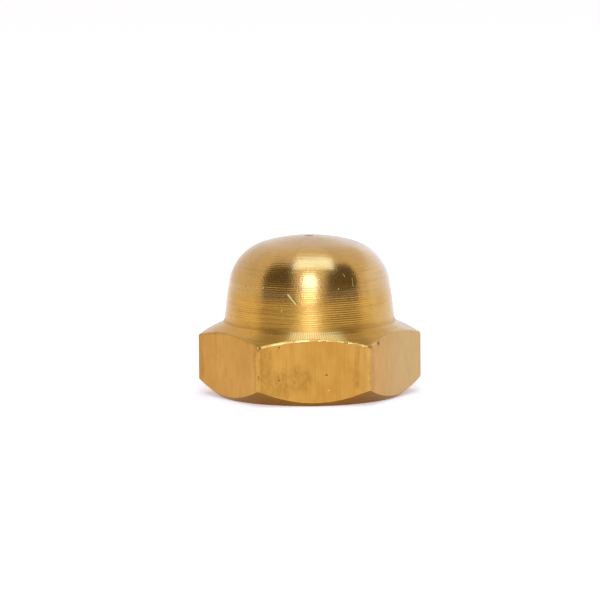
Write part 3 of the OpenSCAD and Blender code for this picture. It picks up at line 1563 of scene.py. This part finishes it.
@dataclass(frozen=True)
class Card:
    """A flat panel round the nut that the metal mirrors: a softbox, a strip light or a dark flag.

    A corner is degrees round from the front, towards the right, and degrees above the floor. The fades are
    the parts of the panel over which it fades out at its first side, its second side, its foot and its head.
    """

    name: str
    corners: tuple[tuple[float, float], ...]
    distance: float
    radiance: float
    tint: Colour
    fades: tuple[float, float, float, float] = (0.01, 0.01, 0.01, 0.01)
    lights_floor: bool = True
    CELLS: ClassVar[int] = 12
    SPREAD: ClassVar[str] = "spread"

    def build(self) -> None:
        """Makes the panel, which the camera doesn't see."""
        mesh = self.sheet()
        mesh.materials.append(self.glow())
        card = add_object(self.name, mesh)
        card.visible_camera = False
        card.visible_shadow = False
        card.visible_diffuse = self.lights_floor

    def sheet(self) -> bpy.types.Mesh:
        """Makes the panel's mesh, which carries how far across and along it a point lies.

        Returns:
            The mesh.
        """
        a, b, c, d = (direction(*corner) * self.distance for corner in self.corners)
        steps = [step / self.CELLS for step in range(self.CELLS + 1)]
        spread = [(u, v, 0.0) for v in steps for u in steps]
        points = [a.lerp(b, u).lerp(d.lerp(c, u), v) for u, v, _ in spread]
        row = len(steps)
        starts = [v * row + u for v in range(self.CELLS) for u in range(self.CELLS)]
        mesh = bpy.data.meshes.new(self.name)
        mesh.from_pydata(points, [], [(at, at + 1, at + row + 1, at + row) for at in starts])
        attribute = mesh.attributes.new(self.SPREAD, "FLOAT_VECTOR", "POINT")
        attribute.data.foreach_set("vector", [number for place in spread for number in place])
        return mesh

    def glow(self) -> bpy.types.Material:
        """Makes the panel's material, which fades out towards its edges.

        Returns:
            The material.
        """
        material = bpy.data.materials.new(self.name)
        tree = empty_tree(material)
        light = add_node(tree, "ShaderNodeEmission", Color=(*self.tint, 1.0), Strength=self.radiance)
        spread = add_node(tree, "ShaderNodeAttribute", {"attribute_name": self.SPREAD})
        split = add_node(tree, "ShaderNodeSeparateXYZ", Vector=output(spread, "Vector"))
        across, along = output(split, "X"), output(split, "Y")
        insets = (across, 1.0 - across, along, 1.0 - along)
        cover = math.prod(inset.ramp(0.0, fade) for inset, fade in zip(insets, self.fades))
        end_in_mix(tree, cover, tree.nodes.new("ShaderNodeBsdfTransparent"), light)
        return material


@dataclass
class Studio:
    """Pale floor, white surroundings and soft panels of light."""

    floor_size: float = 8.0
    floor_gap: float = 0.005 * MM
    floor_colour: Colour = (0.825, 0.81, 0.74)
    floor_lift: Colour = (0.43, 0.385, 0.36)
    touch: float = 0.05 * MM
    white: float = 1.0
    fill: float = 0.77
    cards: tuple[Card, ...] = (
        Card(
            "overhead_softbox",
            ((-138.0, 77.0), (124.0, 70.5), (53.7, 55.5), (-41.5, 60.0)),
            distance=0.6,
            radiance=2.05,
            tint=(0.77, 1.1, 1.85),
        ),
        Card(
            "front_strip",
            ((-12.6, 0.0), (9.5, 0.0), (9.5, 58.0), (-12.6, 58.0)),
            distance=0.9,
            radiance=0.75,
            tint=(0.84, 1.02, 1.7),
        ),
        Card(
            "front_lamp",
            ((-17.0, 8.0), (13.0, 8.0), (13.0, 54.0), (-17.0, 54.0)),
            distance=0.5,
            radiance=4.4,
            tint=(0.87, 1.02, 1.85),
            fades=(0.3, 0.3, 0.35, 0.2),
        ),
        Card(
            "right_bounce",
            ((84.0, 0.5), (176.0, 0.5), (176.0, 27.0), (84.0, 27.0)),
            distance=0.8,
            radiance=1.05,
            tint=(0.93, 1.03, 1.25),
            fades=(0.2, 0.2, 0.01, 0.25),
            lights_floor=False,
        ),
        Card(
            "left_flag",
            ((-14.0, 2.5), (-72.0, 1.5), (-101.0, 58.0), (-43.0, 72.0)),
            distance=0.7,
            radiance=0.11,
            tint=(1.12, 0.97, 0.78),
            fades=(0.25, 0.06, 0.14, 0.06),
            lights_floor=False,
        ),
        Card(
            "right_flag",
            ((10.5, 2.5), (70.0, 1.5), (99.0, 55.0), (41.5, 71.0)),
            distance=0.7,
            radiance=0.11,
            tint=(1.12, 0.97, 0.78),
            fades=(0.25, 0.06, 0.14, 0.06),
            lights_floor=False,
        ),
    )

    def build(self) -> None:
        """Makes the floor, the world and the panels."""
        self.build_floor()
        self.build_world()
        for card in self.cards:
            card.build()

    @staticmethod
    def seen(tree: bpy.types.NodeTree) -> Field:
        """Tells a ray that shows the studio from one that lights a dull surface.

        Args:
            tree: The tree that asks.

        Returns:
            1 for a ray from the camera, a mirror or glass, and 0 for others.
        """
        path = tree.nodes.new("ShaderNodeLightPath")
        camera, mirror = output(path, "Is Camera Ray"), output(path, "Is Glossy Ray")
        glass = output(path, "Is Transmission Ray")
        return camera.math("MAXIMUM", mirror).math("MAXIMUM", glass)

    def build_floor(self) -> None:
        """Makes a pale floor that keeps the nut's shadow.

        It is clear from below, and to the face that rests on it.
        """
        half = self.floor_size / 2.0
        corners = [(-half, -half), (half, -half), (half, half), (-half, half)]
        mesh = bpy.data.meshes.new("floor")
        mesh.from_pydata([(x, y, -self.floor_gap) for x, y in corners], [], [(0, 1, 2, 3)])
        material = bpy.data.materials.new("pale_floor")
        tree = empty_tree(material)
        dull = add_node(tree, "ShaderNodeBsdfDiffuse", Color=(*self.floor_colour, 1.0))
        lift = add_node(tree, "ShaderNodeEmission", Color=(*self.floor_lift, 1.0), Strength=self.seen(tree))
        both = tree.nodes.new("ShaderNodeAddShader")
        tree.links.new(dull.outputs[0], both.inputs[0])
        tree.links.new(lift.outputs[0], both.inputs[1])
        below = output(tree.nodes.new("ShaderNodeNewGeometry"), "Backfacing")
        ray = output(tree.nodes.new("ShaderNodeLightPath"), "Ray Length")
        clear = below.math("MAXIMUM", ray.math("LESS_THAN", self.touch))
        end_in_mix(tree, clear, both, tree.nodes.new("ShaderNodeBsdfTransparent"))
        mesh.materials.append(material)
        add_object("floor", mesh)

    def build_world(self) -> None:
        """Makes white surroundings, with a plain level of light for dull surfaces."""
        world = bpy.data.worlds.new("white_room")
        bpy.context.scene.world = world
        tree = empty_tree(world)
        strength = self.fill + self.seen(tree) * (self.white - self.fill)
        back = add_node(tree, "ShaderNodeBackground", Strength=strength)
        out = tree.nodes.new("ShaderNodeOutputWorld")
        tree.links.new(back.outputs[0], out.inputs["Surface"])


@dataclass
class PhotoCamera:
    """Camera at the photograph's angle: a long lens, a little above the nut."""

    azimuth: float = -2.25
    elevation: float = 8.0
    roll: float = 0.4
    distance: float = 667.0 * MM
    picture_width: float = 52.68 * MM
    aim_height: float = 8.2 * MM
    aim_right: float = -0.826 * MM
    sensor: float = 36.0
    nearest: float = 0.01
    farthest: float = 20.0

    def build(self) -> None:
        """Makes the camera and looks through it."""
        back = direction(self.azimuth, self.elevation)
        right = Vector((0.0, 0.0, 1.0)).cross(back).normalized()
        up = back.cross(right)
        roll = math.radians(self.roll)
        across = right * math.cos(roll) - up * math.sin(roll)
        over = up * math.cos(roll) + right * math.sin(roll)
        aim = Vector((0.0, 0.0, self.aim_height)) + right * self.aim_right
        lens = bpy.data.cameras.new("photo_camera")
        lens.sensor_width = self.sensor
        lens.lens = self.sensor * self.distance / self.picture_width
        lens.clip_start = self.nearest
        lens.clip_end = self.farthest
        camera = add_object("photo_camera", lens)
        turn = Matrix((across, over, back)).transposed().to_4x4()
        camera.matrix_world = Matrix.Translation(aim + back * self.distance) @ turn
        bpy.context.scene.camera = camera


def main() -> None:
    """Builds the camera, the studio and the nut."""
    logging.basicConfig(level=logging.INFO, format="%(name)s: %(message)s")
    bpy.context.scene.view_settings.view_transform = "Standard"
    PhotoCamera().build()
    Studio().build()
    nut = CapNut.from_frame()
    effects = Effects()
    looks = {
        Finish.TURNED: TurnedBrass(),
        Finish.FACED: FacedBrass(),
        Finish.DRAWN: DrawnBrass(),
        Finish.TAPPED: TappedBrass(),
    }
    materials = {finish: look.material(nut, effects) for finish, look in looks.items()}
    piece = nut.build(materials)
    nut.dress(piece)
    faces, triangles = len(piece.data.polygons), len(piece.data.loop_triangles)
    LOG.info("%s: %d faces, %d triangles", piece.name, faces, triangles)


if __name__ == "__main__":
    main()
